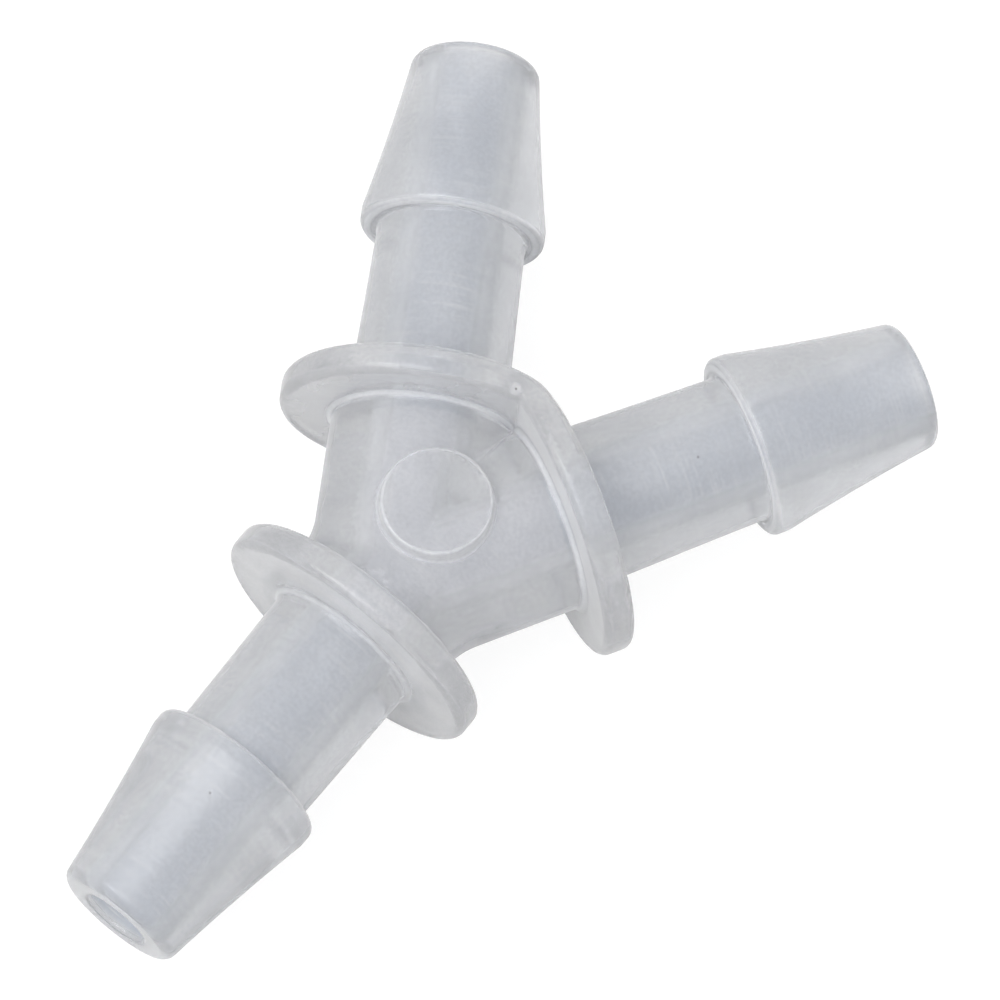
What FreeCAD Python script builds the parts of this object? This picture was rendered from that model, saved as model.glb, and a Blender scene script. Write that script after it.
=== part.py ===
import FreeCAD, Part
import math
import os

# A 60 degree wye connector for small-bore hose: one moulding, divided here at its features.
# Each arm is drawn along +Y from the point where the three bore axes cross, then turned into place.

# Layout, in millimetres and degrees
ARMS = {"stem": 180.0, "left": 30.0, "right": -30.0}
INNER_FACE = {"stem": 1.66, "left": 4.4, "right": 4.4}
BORE_R = 0.95
AXIS_HEIGHT = 4.05

# Hub
NECK_R = 2.56
NECK_FILLET = 0.13
PAD_R = 1.55
PAD_RISE = 0.45
PAD_OFFSET = 1.4
PAD_ROUND = 0.08

# Collars
COLLAR_R = 4.05
COLLAR_T = 0.9
COLLAR_ROUND = 0.25
RIDGE_R = 1.2

# Shanks, measured from the collar's outer face
SHANK_ROOT_R = 2.19
SHANK_END_R = 2.09
SHANK_LENGTH = {"stem": 4.57, "left": 4.83, "right": 4.83}
SHANK_FILLET = 0.15

# Barbs
BARB_R = 2.6
BARB_LENGTH = 5.32
BARB_LAND = 0.3
BARB_ROUND = 0.2
BARB_SAG = 0.04
TIP_R = 1.84
TIP_ROUND = 0.28
MOUTH_ROUND = 0.08

REACH = 20.0
X_AXIS = FreeCAD.Vector(1, 0, 0)
Y_AXIS = FreeCAD.Vector(0, 1, 0)
Z_AXIS = FreeCAD.Vector(0, 0, 1)
CROSSING = FreeCAD.Vector(0, 0, 0)
QUARTER = math.sqrt(0.5)


def point(radius, distance):
    return FreeCAD.Vector(radius, distance, 0)


def line(start, end):
    return Part.LineSegment(start, end).toShape()


def arc(start, middle, end):
    return Part.Arc(start, middle, end).toShape()


def corner(centre, radius, first, last):
    """Quarter round about a centre; first and last are its unit end directions."""
    middle = (first + last) * QUARTER
    return arc(centre + first * radius, centre + middle * radius, centre + last * radius)


def turned(edges):
    """Solid of revolution about +Y from edges that follow one another."""
    closing = line(edges[-1].Vertexes[-1].Point, edges[0].Vertexes[0].Point)
    face = Part.Face(Part.Wire(edges + [closing]))
    return face.revolve(CROSSING, Y_AXIS, 360)


def rod(radius, start, end):
    return Part.makeCylinder(radius, end - start, FreeCAD.Vector(0, start, 0), Y_AXIS)


def turn_into_place(shape, arm):
    shape.rotate(CROSSING, Z_AXIS, ARMS[arm])
    return shape


def sector(arm):
    """The part of space nearer to this arm than to either neighbour."""
    bearing = ARMS[arm]
    limits = []
    for other, angle in ARMS.items():
        if other != arm:
            half = ((angle - bearing + 180.0) % 360.0 - 180.0) / 2.0
            limits.append(math.radians(half))
    corners = [CROSSING]
    for half in (min(limits), 0.0, max(limits)):
        corners.append(FreeCAD.Vector(-math.sin(half), math.cos(half), 0) * 3 * REACH)
    profile = Part.makePolygon(corners + [CROSSING])
    wedge = Part.Face(profile).extrude(Z_AXIS * 2 * REACH)
    wedge.translate(Z_AXIS * -REACH)
    return turn_into_place(wedge, arm)


def mitred(pieces):
    """Join one solid per arm, each kept to its own sector."""
    solids = [pieces[arm].common(sector(arm)) for arm in pieces]
    return solids[0].multiFuse(solids[1:]).removeSplitter()


def neck(arm):
    face = INNER_FACE[arm]
    centre = point(NECK_R + NECK_FILLET, face - NECK_FILLET)
    edges = [
        line(point(0, -NECK_R), point(NECK_R, -NECK_R)),
        line(point(NECK_R, -NECK_R), point(NECK_R, face - NECK_FILLET)),
        corner(centre, NECK_FILLET, -X_AXIS, Y_AXIS),
        line(point(NECK_R + NECK_FILLET, face), point(0, face)),
    ]
    return turn_into_place(turned(edges), arm)


def bores():
    return mitred({arm: turn_into_place(rod(BORE_R, -NECK_R, REACH), arm) for arm in ARMS})


def pad(body, side):
    """Round raised pad on the body, above (+1) or below (-1) the plane of the arms."""
    height = NECK_R + PAD_RISE
    blank = Part.makeCylinder(PAD_R, height - BORE_R, FreeCAD.Vector(0, PAD_OFFSET, BORE_R))
    top = [edge for edge in blank.Edges if edge.Closed and edge.BoundBox.ZMin > height - 0.01]
    blank = blank.makeFillet(PAD_ROUND, top)
    if side < 0:
        blank = blank.mirror(CROSSING, Z_AXIS)
    return blank.cut(body)


def collar(arm):
    inner = INNER_FACE[arm]
    outer = inner + COLLAR_T
    flat = COLLAR_R - COLLAR_ROUND
    lower = point(flat, inner + COLLAR_ROUND)
    upper = point(flat, outer - COLLAR_ROUND)
    edges = [
        line(point(0, inner), point(flat, inner)),
        corner(lower, COLLAR_ROUND, -Y_AXIS, X_AXIS),
        line(point(COLLAR_R, inner + COLLAR_ROUND), point(COLLAR_R, outer - COLLAR_ROUND)),
        corner(upper, COLLAR_ROUND, X_AXIS, Y_AXIS),
        line(point(flat, outer), point(0, outer)),
    ]
    return turn_into_place(turned(edges), arm)


def ridge_waste():
    """What rounding the ridge takes off, where the two branch collars meet on the centre plane."""
    half = math.radians(ARMS["left"])
    crest = (INNER_FACE["left"] + COLLAR_T) / math.cos(half)
    run = RIDGE_R * math.tan(half)
    left = FreeCAD.Vector(-run * math.cos(half), crest - run * math.sin(half), -REACH)
    right = FreeCAD.Vector(-left.x, left.y, -REACH)
    top = crest + RIDGE_R
    outline = Part.makePolygon([
        left,
        right,
        FreeCAD.Vector(right.x, top, -REACH),
        FreeCAD.Vector(left.x, top, -REACH),
        left,
    ])
    block = Part.Face(outline).extrude(Z_AXIS * 2 * REACH)
    centre_y = crest - RIDGE_R / math.cos(half)
    kept = Part.makeCylinder(RIDGE_R, 2 * REACH, FreeCAD.Vector(0, centre_y, -REACH), Z_AXIS)
    return block.cut(kept)


def shank(arm):
    start = INNER_FACE[arm] + COLLAR_T
    end = start + SHANK_LENGTH[arm]
    slope = (SHANK_END_R - SHANK_ROOT_R) / SHANK_LENGTH[arm]
    foot_r = SHANK_ROOT_R + slope * SHANK_FILLET
    centre = point(foot_r + SHANK_FILLET, start + SHANK_FILLET)
    edges = [
        line(point(BORE_R, start), point(centre.x, start)),
        corner(centre, SHANK_FILLET, -Y_AXIS, -X_AXIS),
        line(point(foot_r, start + SHANK_FILLET), point(SHANK_END_R, end)),
        line(point(SHANK_END_R, end), point(BORE_R, end)),
    ]
    return turn_into_place(turned(edges), arm)


def barb(arm):
    start = INNER_FACE[arm] + COLLAR_T + SHANK_LENGTH[arm]
    end = start + BARB_LENGTH
    crest = point(BARB_R, start + BARB_ROUND)
    taper_start = point(BARB_R, crest.y + BARB_LAND)
    taper_end = point(TIP_R, end - TIP_ROUND)
    waist = (taper_start + taper_end) * 0.5 - X_AXIS * BARB_SAG
    mouth_r = BORE_R + MOUTH_ROUND
    edges = [
        line(point(BORE_R, start), point(BARB_R - BARB_ROUND, start)),
        corner(point(BARB_R - BARB_ROUND, crest.y), BARB_ROUND, -Y_AXIS, X_AXIS),
        line(crest, taper_start),
        arc(taper_start, waist, taper_end),
        corner(point(TIP_R - TIP_ROUND, taper_end.y), TIP_ROUND, X_AXIS, Y_AXIS),
        line(point(TIP_R - TIP_ROUND, end), point(mouth_r, end)),
        corner(point(mouth_r, end - MOUTH_ROUND), MOUTH_ROUND, Y_AXIS, -X_AXIS),
    ]
    return turn_into_place(turned(edges), arm)


def build():
    body = mitred({arm: neck(arm) for arm in ARMS})
    passages = bores()
    waste = ridge_waste()
    nodes = {"hub": body.cut(passages)}
    nodes["front_pad"] = pad(body, 1)
    nodes["back_pad"] = pad(body, -1)
    for arm in ARMS:
        nodes[arm + "_collar"] = collar(arm).common(sector(arm)).cut(waste).cut(passages)
        nodes[arm + "_shank"] = shank(arm)
        nodes[arm + "_barb"] = barb(arm)
    return nodes


def export(nodes):
    """Rest the collars on the ground, centred on the whole moulding's outline."""
    box = Part.makeCompound(list(nodes.values())).optimalBoundingBox()
    shift = FreeCAD.Vector(-box.Center.x, -box.Center.y, AXIS_HEIGHT)
    os.makedirs("parts", exist_ok=True)
    for name, shape in nodes.items():
        shape.translate(shift)
        shape.exportStep("parts/" + name + ".step")


export(build())
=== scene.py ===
import math

import bpy
import numpy as np
from mathutils import Matrix, Vector


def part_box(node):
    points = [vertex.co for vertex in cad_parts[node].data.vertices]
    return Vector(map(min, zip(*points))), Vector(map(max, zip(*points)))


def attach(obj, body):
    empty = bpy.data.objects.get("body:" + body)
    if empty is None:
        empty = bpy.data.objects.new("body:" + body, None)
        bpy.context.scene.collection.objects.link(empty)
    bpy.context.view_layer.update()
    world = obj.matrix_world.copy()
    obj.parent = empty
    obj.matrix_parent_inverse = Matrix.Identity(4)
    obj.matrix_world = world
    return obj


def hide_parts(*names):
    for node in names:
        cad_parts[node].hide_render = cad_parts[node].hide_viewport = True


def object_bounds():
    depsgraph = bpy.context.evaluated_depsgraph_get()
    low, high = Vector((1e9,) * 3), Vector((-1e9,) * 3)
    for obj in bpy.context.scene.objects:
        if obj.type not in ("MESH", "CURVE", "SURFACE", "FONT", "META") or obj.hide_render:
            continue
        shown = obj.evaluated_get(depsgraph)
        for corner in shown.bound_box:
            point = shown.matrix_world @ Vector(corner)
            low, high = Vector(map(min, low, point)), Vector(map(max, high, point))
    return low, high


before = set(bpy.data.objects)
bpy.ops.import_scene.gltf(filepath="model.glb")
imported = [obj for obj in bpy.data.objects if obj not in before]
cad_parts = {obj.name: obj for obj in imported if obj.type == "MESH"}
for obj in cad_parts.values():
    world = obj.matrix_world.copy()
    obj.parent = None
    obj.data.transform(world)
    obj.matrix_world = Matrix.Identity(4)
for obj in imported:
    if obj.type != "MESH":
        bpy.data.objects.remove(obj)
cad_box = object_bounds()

# ---------------------------------------------------------------- shape
# Lengths are in millimetres, and places are measured from where the three bore axes cross.
MM = 0.001
BEND = math.radians(30.0)
ARM_TURN = {"stem": math.pi, "left": BEND, "right": -BEND}
KIND = {"stem": "stem", "left": "branch", "right": "branch"}
INNER_FACE = {"stem": 1.66, "branch": 4.4}

NECK_R, NECK_FILLET = 2.56, 0.13
NECK_PAST_CROSSING, NECK_INTO_COLLAR = 0.7, 0.3
COLLAR_R, COLLAR_T, COLLAR_ROUND = 4.05, 0.9, 0.25
SHANK_ROOT_R, SHANK_END_R, SHANK_FILLET = 2.19, 2.09, 0.16
SHANK_LENGTH = {"stem": 4.57, "branch": 4.83}
SHANK_INTO_BARB = 1.0
BARB_R, BARB_LENGTH, BARB_LAND, BARB_ROUND, BARB_SAG = 2.6, 5.32, 0.3, 0.2, 0.04
BARB_FILLET = 0.06
TIP_R, TIP_ROUND, TAPER_END = 1.84, 0.28, 1.1
BORE_R, BORE_PAST_CROSSING, MOUTH_ROUND = 0.95, 0.3, 0.08
PAD_R, PAD_RISE, PAD_OFFSET, PAD_ROUND = 1.55, 0.45, 1.4, 0.08
PAD_FOOT, PAD_FILLET = 1.4, 0.07
ELBOW_FILLET = 0.3

# the two branches meet in a crease, which widens into a rounded ridge between their collars
CREASE_ROUND, CREASE_END = 0.05, 4.9
RIDGE_ROUND, RIDGE_START = 0.36, 5.7

# sampling: the grid's cell and margin, and how vertices settle onto the surface
CELL = 0.1
MARGIN_CELLS, REACH_CELLS = 2.5, 0.7
SETTLE_ROUNDS, LEAST_SLOPE_SQUARED = 4, 0.2
SLOPE_STEP = 0.004

# seams between nodes: how far from a corner a face still belongs to the feature beyond it
SEAM = 0.07
NECK_SEAM, SHANK_SEAM, BARB_SEAM, BARB_STEP = 0.1, 0.2, 0.06, 0.03
PAD_SEAM = 1.6
# near a bore the seams lie at the stations themselves, and this close to its wall a face is bore
NEAR_BORE, ON_BORE = 1.3, 0.03

# ---------------------------------------------------------------- finish of the plastic
# tint is the colour in clouds, shade the colour between them, clear the share of light let through
WHITE, MOTTLE, SOOT = (1.0, 1.0, 1.0, 1.0), (0.59, 0.60, 0.64, 1.0), (0.10, 0.09, 0.08, 1.0)
FINISH = {
    "wall": {
        "tint": (0.922, 0.930, 0.953, 1.0),
        "shade": (0.877, 0.891, 0.921, 1.0),
        "roughness": 0.24,
        "clear": 0.82,
    },
    "edge": {
        "tint": (0.988, 0.988, 1.0, 1.0),
        "shade": (0.942, 0.948, 0.968, 1.0),
        "roughness": 0.24,
        "clear": 0.81,
    },
    # the bore's darker, bluer tint and shade are painted shade, standing in for the dark tube seen
    # through the wall
    "bore": {
        "tint": (0.70, 0.74, 0.803, 1.0),
        "shade": (0.655, 0.694, 0.758, 1.0),
        "roughness": 0.42,
        "clear": 0.63,
    },
    "heart": {
        "tint": (0.942, 0.943, 0.973, 1.0),
        "shade": (0.896, 0.904, 0.942, 1.0),
        "roughness": 0.42,
        "clear": 0.64,
    },
}
# a collar's finish changes to its rim's this far out from the neck; a bore's painted shade gives
# way to the wall's finish this far from the tip
RIM_FADE, MOUTH_FADE = (0.14, 0.44), (-0.3, -0.06)
IOR, SHEEN, SHEEN_ROUGHNESS = 1.49, 0.5, 0.4

# grain: features in a millimetre across the arm, along it, and across
CLOUD_GRAIN = (0.6, 0.45, 0.6)
FLOW_GRAIN = (3.2, 0.14, 3.2)
RING_GRAIN = (0.3, 12.0, 0.3)
WORN_GRAIN = (0.9, 0.6, 0.9)
FINE_GRAIN = (9.0, 9.0, 9.0)

# smooth steps through that noise: from, to, and the values at each unless they are 0 and 1
CLOUDS, WORN = (0.32, 0.68), (0.42, 0.72)
STREAKS = (0.35, 0.65, 0.0, 0.5)
MOTTLING = (0.35, 0.65, 0.0, 0.3)
LINES = (0.5, 0.65, 0.0, 0.5)
WEAR = (0.0, 1.0, -0.03, 0.025)

# relief: the height of marks round the arm and of fine grain, where streaks along it have 1
LINE_HEIGHT, FINE_HEIGHT = 0.35, 0.12
BUMP_STRENGTH, BUMP_DEPTH = 0.07, 0.02

# how white clouds, corners and scuffs are; PAD_VEIL_AND_HIGHLIGHT and the strengths in rings_of multiply CORNER_VEIL_AND_HIGHLIGHT
# the whiter corners are partly denser milky plastic and partly painted highlight where light
# catches rims and fillets
CLOUD_VEIL, CORNER_VEIL_AND_HIGHLIGHT, PAD_VEIL_AND_HIGHLIGHT, SCUFF_VEIL = 0.06, 0.16, 1.4, 0.2
RING_FADE = (0.03, 0.16)

# dark specks, and the nib on the ridge with its pale rim: each fades between two distances
SPECK_FADE, SPECK_SHARE = (0.02, 0.05), 0.7
NIB = (-0.24, 5.20, 3.29)
SPECKS = [(4.63, 7.14, 2.08), (0.23, -8.68, 2.38), (3.07, 0.29, 0.48), NIB]
SCUFFS = [(NIB, 0.12, 0.24)]

# ---------------------------------------------------------------- stage
# The floor and the camera's distance and clipping are in metres.
FLOOR_HALF = 2.0
FLOOR_LIT, FLOOR_WHITE = 0.2, 0.85
FLOOR_GREY, FLOOR_GLOW = 0.30, 0.29
SKY = 0.86
# the brighter parts of the sky: elevation, bearing from +X, strength and spread
SOFT = [
    (math.radians(66), math.radians(-115), 3.6, math.radians(32)),
    (math.radians(52), math.radians(-150), 2.4, math.radians(16)),
]
CAMERA_ELEVATION = math.radians(70.04)
CAMERA_HEADING = math.radians(29.61)  # from +Y towards -X
CAMERA_ROLL = math.radians(8.47)
CAMERA_DISTANCE, CAMERA_CLIP = 0.15189, 0.001
CAMERA_AIM = (0.786, 3.427, 0.0)
LENS, SENSOR = 198.3, 36.0

# the frame's place for the crossing of the bore axes, in metres
pad_low, pad_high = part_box("front_pad")
collar_low, collar_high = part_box("stem_collar")
CROSSING = Vector((
    (pad_low.x + pad_high.x) / 2,
    collar_high.y + INNER_FACE["stem"] * MM,
    (collar_low.z + collar_high.z) / 2,
))


# ---------------------------------------------------------------- one distance function
def soft_min(a, b, width):
    """The lower of two distances, with a fillet about that wide where they cross."""
    blend = np.maximum(width - np.abs(a - b), 0.0) / width
    return np.minimum(a, b) - blend * blend * width * 0.25


def soft_max(a, b, width):
    return -soft_min(-a, -b, width)


def ease(value, low, high):
    """Smooth step from 0 to 1 as a value goes from low to high."""
    t = np.clip((value - low) / (high - low), 0.0, 1.0)
    return t * t * (3.0 - 2.0 * t)


def slab(s, rise, start, end, rounding):
    """Rounded disc between two stations; rise is the height above its rim."""
    along = np.abs(s - (start + end) / 2) - (end - start) / 2 + rounding
    out = rise + rounding
    corner = np.hypot(np.maximum(along, 0.0), np.maximum(out, 0.0))
    return corner + np.minimum(np.maximum(along, out), 0.0) - rounding


def stations(kind):
    """Where an arm's collar, shank and barb start, and where its tip ends."""
    inner = INNER_FACE[kind]
    outer = inner + COLLAR_T
    root = outer + SHANK_LENGTH[kind]
    return inner, outer, root, root + BARB_LENGTH


def arm(s, radius, kind):
    """One arm's outside: s runs out along its axis, radius is the distance from it."""
    inner, outer, root, tip = stations(kind)
    ends = np.maximum(s - inner - NECK_INTO_COLLAR, -s - NECK_PAST_CROSSING)
    neck = np.maximum(radius - NECK_R, ends)
    collar = slab(s, radius - COLLAR_R, inner, outer, COLLAR_ROUND)
    taper = SHANK_ROOT_R + (SHANK_END_R - SHANK_ROOT_R) * (s - outer) / SHANK_LENGTH[kind]
    shank = np.maximum(radius - taper, np.maximum(s - root - SHANK_INTO_BARB, inner - s))
    crest_end = root + BARB_ROUND + BARB_LAND
    t = np.clip((s - crest_end) / (tip - TIP_ROUND - crest_end), 0.0, TAPER_END)
    barb_r = BARB_R + (TIP_R - BARB_R) * t - BARB_SAG * 4.0 * t * (1.0 - t)
    rounding = BARB_ROUND + (TIP_ROUND - BARB_ROUND) * np.clip(t, 0.0, 1.0)
    barb = slab(s, radius - barb_r, root, tip, rounding)
    body = soft_min(neck, collar, NECK_FILLET * 2.0)
    body = soft_min(body, shank, SHANK_FILLET * 2.0)
    return soft_min(body, barb, BARB_FILLET * 2.0)


def split_arms(p):
    """Stations and radii along the stem, and along the branch on this point's side."""
    x, y, z = p[..., 0], p[..., 1], p[..., 2]
    width = CREASE_ROUND + (RIDGE_ROUND - CREASE_ROUND) * ease(y, CREASE_END, RIDGE_START)
    side = np.sqrt(x * x + width * width)
    s_branch = side * math.sin(BEND) + y * math.cos(BEND)
    across = side * math.cos(BEND) - y * math.sin(BEND)
    return -y, np.hypot(x, z), s_branch, np.hypot(across, z)


def pads(p):
    """The round pads above and below the hub."""
    radius = np.hypot(p[..., 0], p[..., 1] - PAD_OFFSET)
    height = np.abs(p[..., 2])
    return slab(height, radius - PAD_R, PAD_FOOT, NECK_R + PAD_RISE, PAD_ROUND)


def outside(p):
    """The three arms joined, without the pads and bores."""
    s_stem, r_stem, s_branch, r_branch = split_arms(p)
    stem = arm(s_stem, r_stem, "stem")
    branch = arm(s_branch, r_branch, "branch")
    return soft_min(stem, branch, ELBOW_FILLET)


def bores(p):
    s_stem, r_stem, s_branch, r_branch = split_arms(p)
    stem = np.maximum(r_stem - BORE_R, -s_stem - BORE_PAST_CROSSING)
    branch = np.maximum(r_branch - BORE_R, -s_branch - BORE_PAST_CROSSING)
    return np.minimum(stem, branch)


def moulding(p):
    """Signed distance to the whole part, negative inside."""
    solid = soft_min(outside(p), pads(p), PAD_FILLET * 2.0)
    return soft_max(solid, -bores(p), MOUTH_ROUND * 2.0)


def slope(p):
    """Gradient of the distance function, by central differences."""
    grad = np.empty_like(p)
    for axis in range(3):
        shift = np.zeros(3)
        shift[axis] = SLOPE_STEP
        grad[..., axis] = (moulding(p + shift) - moulding(p - shift)) / (2.0 * SLOPE_STEP)
    return grad


# ---------------------------------------------------------------- its surface
def sample(low, high):
    """The distance function on a grid, one plane at a time."""
    counts = np.ceil((high - low) / CELL).astype(int) + 1
    axes = [low[a] + CELL * np.arange(counts[a]) for a in range(3)]
    values = np.empty(counts)
    for i, x in enumerate(axes[0]):
        plane = np.empty((counts[1], counts[2], 3))
        plane[..., 0] = x
        plane[..., 1] = axes[1][:, None]
        plane[..., 2] = axes[2][None, :]
        values[i] = moulding(plane)
    return values


def surface(low, high):
    """Vertices and outward quads of the zero level, one vertex in each cell that it crosses."""
    values = sample(low, high)
    inside = values < 0.0
    total = np.zeros((*values.shape, 3))
    hits = np.zeros(values.shape)
    edges = []
    for axis in range(3):
        here = [slice(None)] * 3
        there = [slice(None)] * 3
        here[axis] = slice(0, -1)
        there[axis] = slice(1, None)
        crossed = np.argwhere(inside[tuple(here)] != inside[tuple(there)])
        ahead = crossed.copy()
        ahead[:, axis] += 1
        a = values[tuple(crossed.T)]
        b = values[tuple(ahead.T)]
        place = crossed.astype(float)
        place[:, axis] += a / (a - b)
        u, v = (axis + 1) % 3, (axis + 2) % 3
        cells = []
        for du, dv in ((0, 0), (1, 0), (1, 1), (0, 1)):
            c = crossed.copy()
            c[:, u] -= du
            c[:, v] -= dv
            np.add.at(total, tuple(c.T), place)
            np.add.at(hits, tuple(c.T), 1.0)
            cells.append(c)
        edges.append((cells, a < 0.0))
    number = np.full(values.shape, -1)
    used = np.argwhere(hits > 0)
    number[tuple(used.T)] = np.arange(len(used))
    points = low + CELL * total[tuple(used.T)] / hits[tuple(used.T)][:, None]
    quads = []
    for cells, leaving in edges:
        quad = np.stack([number[tuple(c.T)] for c in cells], axis=1)
        quads.append(np.where(leaving[:, None], quad, quad[:, ::-1]))
    return points, np.concatenate(quads)


def settle(points):
    """Bring every vertex onto the zero level, without leaving the cells beside its own."""
    start = points.copy()
    reach = REACH_CELLS * CELL
    for _ in range(SETTLE_ROUNDS):
        grad = slope(points)
        length = np.maximum((grad * grad).sum(1), LEAST_SLOPE_SQUARED)
        points = points - grad * (moulding(points) / length)[:, None]
        points = start + np.clip(points - start, -reach, reach)
    return points


def node_names(p):
    """The CAD node that each place on the surface belongs to."""
    s_stem, r_stem, s_branch, r_branch = split_arms(p)
    on_stem = p[:, 1] < -np.abs(p[:, 0]) * math.tan(BEND / 2)
    s = np.where(on_stem, s_stem, s_branch)
    radius = np.where(on_stem, r_stem, r_branch)
    inner = np.where(on_stem, INNER_FACE["stem"], INNER_FACE["branch"])
    outer = inner + COLLAR_T
    root = outer + np.where(on_stem, SHANK_LENGTH["stem"], SHANK_LENGTH["branch"])
    in_bore = radius < NEAR_BORE
    past_neck = (radius > NECK_R + NECK_SEAM) | (s > inner)
    past_shank = (radius > SHANK_END_R + BARB_SEAM) | (s > root + BARB_STEP)
    collar = np.where(in_bore, s > inner, (s > inner - SEAM) & past_neck)
    shank = np.where(in_bore, s > outer, (s > outer - SEAM) & (radius < SHANK_ROOT_R + SHANK_SEAM))
    shank |= s > outer + SEAM
    barb = np.where(in_bore, s > root, (s > root - SEAM) & past_shank)
    side = np.where(on_stem, "stem", np.where(p[:, 0] < 0, "left", "right")).astype(object)
    names = np.full(len(p), "hub", dtype=object)
    for mask, ending in ((collar, "_collar"), (shank, "_shank"), (barb, "_barb")):
        names[mask] = side[mask] + ending
    on_pad = (pads(p) < outside(p)) & (np.abs(p[:, 2]) > PAD_SEAM)
    names[on_pad & (p[:, 2] > 0)] = "front_pad"
    names[on_pad & (p[:, 2] < 0)] = "back_pad"
    return names


def build_pieces():
    """One open shell for each CAD node; neighbours share the vertices along their seam."""
    low = (np.array(cad_box[0]) - np.array(CROSSING)) / MM - MARGIN_CELLS * CELL
    high = (np.array(cad_box[1]) - np.array(CROSSING)) / MM + MARGIN_CELLS * CELL
    points, quads = surface(low, high)
    points = settle(points)
    normals = slope(points)
    normals /= np.linalg.norm(normals, axis=1)[:, None]
    centres = points[quads].mean(axis=1)
    owners = node_names(centres)
    in_bore = np.abs(bores(centres)) < ON_BORE
    world = points * MM + np.array(CROSSING)
    pieces = {}
    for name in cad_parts:
        own = quads[owners == name]
        slots = in_bore[owners == name].astype(np.int32)
        used, own = np.unique(own, return_inverse=True)
        mesh = bpy.data.meshes.new(name + "_surface")
        mesh.from_pydata(world[used].tolist(), [], own.reshape(-1, 4).tolist())
        mesh.polygons.foreach_set("use_smooth", np.ones(len(mesh.polygons), bool))
        mesh.polygons.foreach_set("material_index", slots)
        mesh.normals_split_custom_set_from_vertices(normals[used].tolist())
        mesh.update()
        piece = bpy.data.objects.new(name + "_visual", mesh)
        bpy.context.scene.collection.objects.link(piece)
        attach(piece, "root")
        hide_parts(name)
        pieces[name] = piece
    return pieces


# ---------------------------------------------------------------- shader nodes
def node(tree, kind, inputs, **settings):
    """A shader node; each input is a plain value or another node's output."""
    made = tree.nodes.new("ShaderNode" + kind)
    for name, value in settings.items():
        setattr(made, name, value)
    for name, value in inputs.items():
        if isinstance(value, bpy.types.NodeSocket):
            tree.links.new(value, made.inputs[name])
        else:
            made.inputs[name].default_value = value
    return made


def maths(tree, operation, a, b):
    return node(tree, "Math", {0: a, 1: b}, operation=operation).outputs[0]


def blended(tree, share, a, b):
    return node(tree, "MixRGB", {"Fac": share, "Color1": a, "Color2": b}).outputs[0]


def swing(tree, value, low, high, start=0.0, end=1.0):
    """Smooth step from start to end as a value goes from low to high."""
    limits = {"Value": value, "From Min": low, "From Max": high, "To Min": start, "To Max": end}
    return node(tree, "MapRange", limits, interpolation_type="SMOOTHSTEP").outputs[0]


def length_2d(tree, a, b):
    joined = node(tree, "CombineXYZ", {"X": a, "Y": b}).outputs[0]
    return node(tree, "VectorMath", {0: joined}, operation="LENGTH").outputs["Value"]


def grain(tree, place, per_mm, detail=2.0):
    """Noise from 0 to 1, with that many features in a millimetre along each axis of the arm."""
    stretched = node(tree, "VectorMath", {0: place, 1: per_mm}, operation="MULTIPLY").outputs[0]
    noise = {"Vector": stretched, "Scale": 1.0, "Detail": detail}
    return node(tree, "TexNoise", noise).outputs[0]


def arm_place(tree, coords, turn):
    """Position on one arm in millimetres: Y runs out along it from the crossing."""
    arm_frame = {
        "Vector": coords,
        "Location": CROSSING,
        "Rotation": (0, 0, turn),
        "Scale": (MM, MM, MM),
    }
    return node(tree, "Mapping", arm_frame, vector_type="TEXTURE").outputs[0]


def axial(tree, place):
    """Distance along an arm, and out from its axis."""
    x, y, z = node(tree, "SeparateXYZ", {"Vector": place}).outputs
    return y, length_2d(tree, x, z)


def near(tree, coords, centre, inner, outer):
    """1 within inner millimetres of a place on the moulding, 0 beyond outer."""
    spot = CROSSING + Vector(centre) * MM
    distance = node(tree, "VectorMath", {0: coords, 1: spot}, operation="DISTANCE").outputs["Value"]
    return swing(tree, distance, inner * MM, outer * MM, 1.0, 0.0)


# ---------------------------------------------------------------- whiter corners: partly denser plastic, partly painted highlight
def rings_of(kind):
    """Station, radius and strength of the whiter circles round an arm, at its corners; the
    whiteness is partly denser plastic and partly painted highlight.
    """
    inner, outer, root, _ = stations(kind)
    return [
        (inner - 0.03, NECK_R + 0.06, 2.4),
        (outer + 0.03, SHANK_ROOT_R + 0.06, 1.6),
        (root - 0.56, SHANK_END_R, 0.35),
        (root, SHANK_END_R + 0.3, 3.0),
        (root + 0.06, BARB_R - 0.06, 1.0),
    ]


def ring_veil_and_highlight(tree, along, radius, ring):
    """Whiteness near a circle round an axis, partly denser plastic and partly a painted highlight.
    """
    station, ring_r, strength = ring
    ahead = maths(tree, "SUBTRACT", along, station)
    off = length_2d(tree, ahead, maths(tree, "SUBTRACT", radius, ring_r))
    return swing(tree, off, *RING_FADE, CORNER_VEIL_AND_HIGHLIGHT * strength, 0.0)


def pad_veil_and_highlight(tree, place):
    """Whiteness round the pads' rim, partly denser plastic and partly a painted highlight."""
    x, y, _ = node(tree, "SeparateXYZ", {"Vector": place}).outputs
    radius = length_2d(tree, x, maths(tree, "SUBTRACT", y, PAD_OFFSET))
    off = maths(tree, "ABSOLUTE", maths(tree, "SUBTRACT", radius, PAD_R), 0.0)
    return swing(tree, off, *RING_FADE, CORNER_VEIL_AND_HIGHLIGHT * PAD_VEIL_AND_HIGHLIGHT, 0.0)


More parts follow.
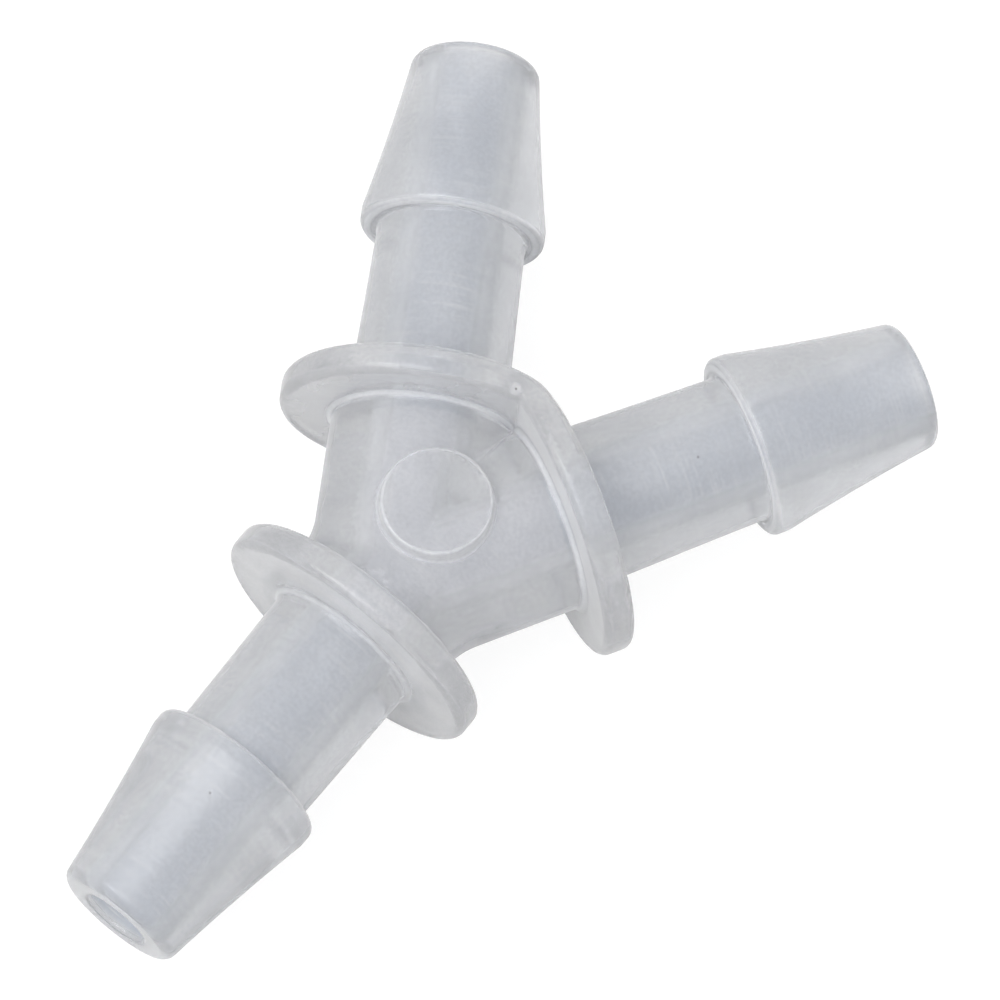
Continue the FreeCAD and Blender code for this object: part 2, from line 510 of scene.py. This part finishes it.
def corner_veils_and_highlights(tree, coords, arm_name):
    """Whiteness of the corners on one arm's pieces, or on the hub and pads: partly denser plastic,
    partly painted highlight.
    """
    if arm_name in ARM_TURN:
        along, radius = axial(tree, arm_place(tree, coords, ARM_TURN[arm_name]))
        return [ring_veil_and_highlight(tree, along, radius, ring) for ring in rings_of(KIND[arm_name])]
    rings = [pad_veil_and_highlight(tree, arm_place(tree, coords, 0.0))]
    for other, turn in ARM_TURN.items():
        along, radius = axial(tree, arm_place(tree, coords, turn))
        rings.append(ring_veil_and_highlight(tree, along, radius, rings_of(KIND[other])[0]))
    return rings


# ---------------------------------------------------------------- material
def patterns(tree, place):
    """The grains of the plastic, which run along or round the arm."""
    return {
        "cloud": swing(tree, grain(tree, place, CLOUD_GRAIN), *CLOUDS),
        "flow": grain(tree, place, FLOW_GRAIN),
        "rings": grain(tree, place, RING_GRAIN, 1.0),
        "worn": swing(tree, grain(tree, place, WORN_GRAIN), *WORN),
        "fine": grain(tree, place, FINE_GRAIN),
    }


def mixed_finish(tree, place, finish, change):
    """One finish, or two that change smoothly along an arm or out from its axis."""
    look = dict(FINISH[finish])
    if change:
        other, axis, low, high = change
        share = swing(tree, axial(tree, place)[axis], low, high)
        for key in ("tint", "shade"):
            look[key] = blended(tree, share, look[key], FINISH[other][key])
        for key in ("roughness", "clear"):
            look[key] = swing(tree, share, 0.0, 1.0, look[key], FINISH[other][key])
    return look


def colour_of(tree, coords, look, pattern):
    """Clouds, streaks along the arm, mottling, fine marks round it, and dark specks."""
    colour = blended(tree, pattern["cloud"], look["shade"], look["tint"])
    colour = blended(tree, swing(tree, pattern["flow"], *STREAKS), colour, look["shade"])
    colour = blended(tree, swing(tree, pattern["fine"], *MOTTLING), colour, MOTTLE)
    lines = maths(tree, "MULTIPLY", swing(tree, pattern["rings"], *LINES), pattern["worn"])
    colour = blended(tree, lines, colour, WHITE)
    for speck in SPECKS:
        spot = maths(tree, "MULTIPLY", near(tree, coords, speck, *SPECK_FADE), SPECK_SHARE)
        colour = blended(tree, spot, colour, SOOT)
    return colour


def roughness_of(tree, look, pattern):
    """The finish's roughness, a little uneven."""
    fine = maths(tree, "MULTIPLY", pattern["fine"], 0.5)
    uneven = maths(tree, "ADD", fine, maths(tree, "MULTIPLY", pattern["worn"], 0.5))
    return maths(tree, "ADD", swing(tree, uneven, *WEAR), look["roughness"])


def relief_of(tree, pattern):
    """Streaks, marks and grain as a shallow bump."""
    marks = maths(tree, "MULTIPLY", pattern["rings"], pattern["worn"])
    height = maths(tree, "ADD", pattern["flow"], maths(tree, "MULTIPLY", marks, LINE_HEIGHT))
    height = maths(tree, "ADD", height, maths(tree, "MULTIPLY", pattern["fine"], FINE_HEIGHT))
    bump = {"Height": height, "Strength": BUMP_STRENGTH, "Distance": BUMP_DEPTH * MM}
    return node(tree, "Bump", bump).outputs["Normal"]


def clear_of(tree, coords, look, pattern, corners_of):
    """How much light goes through: less in clouds, at scuffs, and at the corners of walls, where
    the whiteness is partly denser plastic and partly painted highlight.
    """
    veil = maths(tree, "MULTIPLY", pattern["cloud"], CLOUD_VEIL)
    if corners_of:
        for centre, inner, outer in SCUFFS:
            scuff = maths(tree, "MULTIPLY", near(tree, coords, centre, inner, outer), SCUFF_VEIL)
            veil = maths(tree, "MAXIMUM", veil, scuff)
        for ring in corner_veils_and_highlights(tree, coords, corners_of):
            veil = maths(tree, "MAXIMUM", veil, ring)
    return maths(tree, "MULTIPLY", maths(tree, "SUBTRACT", 1.0, veil), look["clear"])


def plastic(name, finish, change=None):
    """Natural polypropylene, its grain running along one arm.

    change is a second finish and how it takes over: 0 along the arm or 1 out from its axis, from
    one distance to another. Only walls get whiter corners, which are partly painted highlight, and
    scuffs.
    """
    mat = bpy.data.materials.new("polypropylene_" + name)
    mat.use_nodes = True
    tree = mat.node_tree
    arm_name = name.partition("_")[0]
    coords = node(tree, "TexCoord", {}).outputs["Object"]
    place = arm_place(tree, coords, ARM_TURN.get(arm_name, 0.0))
    look = mixed_finish(tree, place, finish, change)
    pattern = patterns(tree, place)
    corners_of = arm_name if finish == "wall" else None
    shader = tree.nodes["Principled BSDF"].inputs
    shader["IOR"].default_value = IOR
    shader["Sheen Weight"].default_value = SHEEN
    shader["Sheen Roughness"].default_value = SHEEN_ROUGHNESS
    tree.links.new(colour_of(tree, coords, look, pattern), shader["Base Color"])
    tree.links.new(roughness_of(tree, look, pattern), shader["Roughness"])
    tree.links.new(relief_of(tree, pattern), shader["Normal"])
    clear = clear_of(tree, coords, look, pattern, corners_of)
    tree.links.new(clear, shader["Transmission Weight"])
    return mat


def finishes(name):
    """The outside and bore materials of one node; an arm's bore is painted darker as shade, which
    gives way to the wall's finish near the mouth.
    """
    arm_name, _, feature = name.partition("_")
    if arm_name not in ARM_TURN:
        return plastic(name, "wall"), plastic(name + "_bore", "heart")
    tip = stations(KIND[arm_name])[3]
    to_rim = ("edge", 1, NECK_R + RIM_FADE[0], NECK_R + RIM_FADE[1])
    painted_shade_fades_at_mouth = ("wall", 0, tip + MOUTH_FADE[0], tip + MOUTH_FADE[1])
    outer_finish = plastic(name, "wall", to_rim if feature == "collar" else None)
    return outer_finish, plastic(name + "_bore", "bore", painted_shade_fades_at_mouth if feature == "barb" else None)


# ---------------------------------------------------------------- floor, light and camera
def matt(tree, level, glow):
    """A grey surface that also gives off a little light."""
    lit = node(tree, "BsdfDiffuse", {"Color": (level, level, level, 1.0)})
    lamp = node(tree, "Emission", {"Strength": glow})
    return node(tree, "AddShader", {0: lit.outputs[0], 1: lamp.outputs[0]}).outputs[0]


def floor():
    """Near white as it is seen directly, and mid grey to the light that comes through the part."""
    mesh = bpy.data.meshes.new("floor")
    half = FLOOR_HALF
    corners = [(-half, -half, 0), (half, -half, 0), (half, half, 0), (-half, half, 0)]
    mesh.from_pydata(corners, [], [(0, 1, 2, 3)])
    obj = bpy.data.objects.new("floor", mesh)
    mat = bpy.data.materials.new("pale_floor")
    mat.use_nodes = True
    tree = mat.node_tree
    seen = matt(tree, FLOOR_LIT, FLOOR_WHITE)
    unseen = matt(tree, FLOOR_GREY, FLOOR_GLOW)
    direct = node(tree, "LightPath", {}).outputs["Is Camera Ray"]
    both = node(tree, "MixShader", {0: direct, 1: unseen, 2: seen})
    tree.links.new(both.outputs[0], tree.nodes["Material Output"].inputs["Surface"])
    mesh.materials.append(mat)
    bpy.context.scene.collection.objects.link(obj)


def camera():
    """The photograph's view, given by its elevation, heading and roll."""
    level = math.cos(CAMERA_ELEVATION)
    forward = Vector((
        -math.sin(CAMERA_HEADING) * level,
        math.cos(CAMERA_HEADING) * level,
        -math.sin(CAMERA_ELEVATION),
    ))
    right = forward.cross(Vector((0, 0, 1))).normalized()
    up = right.cross(forward)
    right = right * math.cos(CAMERA_ROLL) + up * math.sin(CAMERA_ROLL)
    up = right.cross(forward)
    data = bpy.data.cameras.new("camera")
    data.sensor_width = SENSOR
    data.lens = LENS
    data.clip_start = CAMERA_CLIP
    obj = bpy.data.objects.new("camera", data)
    aim = CROSSING + Vector(CAMERA_AIM) * MM
    turned = Matrix((right, up, -forward)).transposed().to_4x4()
    obj.matrix_world = Matrix.Translation(aim - forward * CAMERA_DISTANCE) @ turned
    bpy.context.scene.collection.objects.link(obj)
    bpy.context.scene.camera = obj


def sky():
    """Even studio light, brighter round each of the SOFT directions; it looks white itself."""
    world = bpy.data.worlds.new("studio")
    world.use_nodes = True
    tree = world.node_tree
    direction = node(tree, "TexCoord", {}).outputs["Generated"]
    total = SKY
    for elevation, bearing, strength, spread in SOFT:
        level = Vector((math.cos(bearing), math.sin(bearing), 0)) * math.cos(elevation)
        toward = level + Vector((0, 0, math.sin(elevation)))
        pair = {0: direction, 1: toward}
        along = node(tree, "VectorMath", pair, operation="DOT_PRODUCT").outputs["Value"]
        total = maths(tree, "ADD", total, swing(tree, along, math.cos(spread), 1.0, 0.0, strength))
    seen = node(tree, "LightPath", {}).outputs["Is Camera Ray"]
    background = tree.nodes["Background"].inputs
    tree.links.new(maths(tree, "MAXIMUM", total, seen), background["Strength"])
    background["Color"].default_value = WHITE
    bpy.context.scene.world = world


pieces = build_pieces()
for name, piece in pieces.items():
    for mat in finishes(name):
        piece.data.materials.append(mat)
floor()
camera()
sky()
bpy.context.scene.view_settings.view_transform = "Standard"
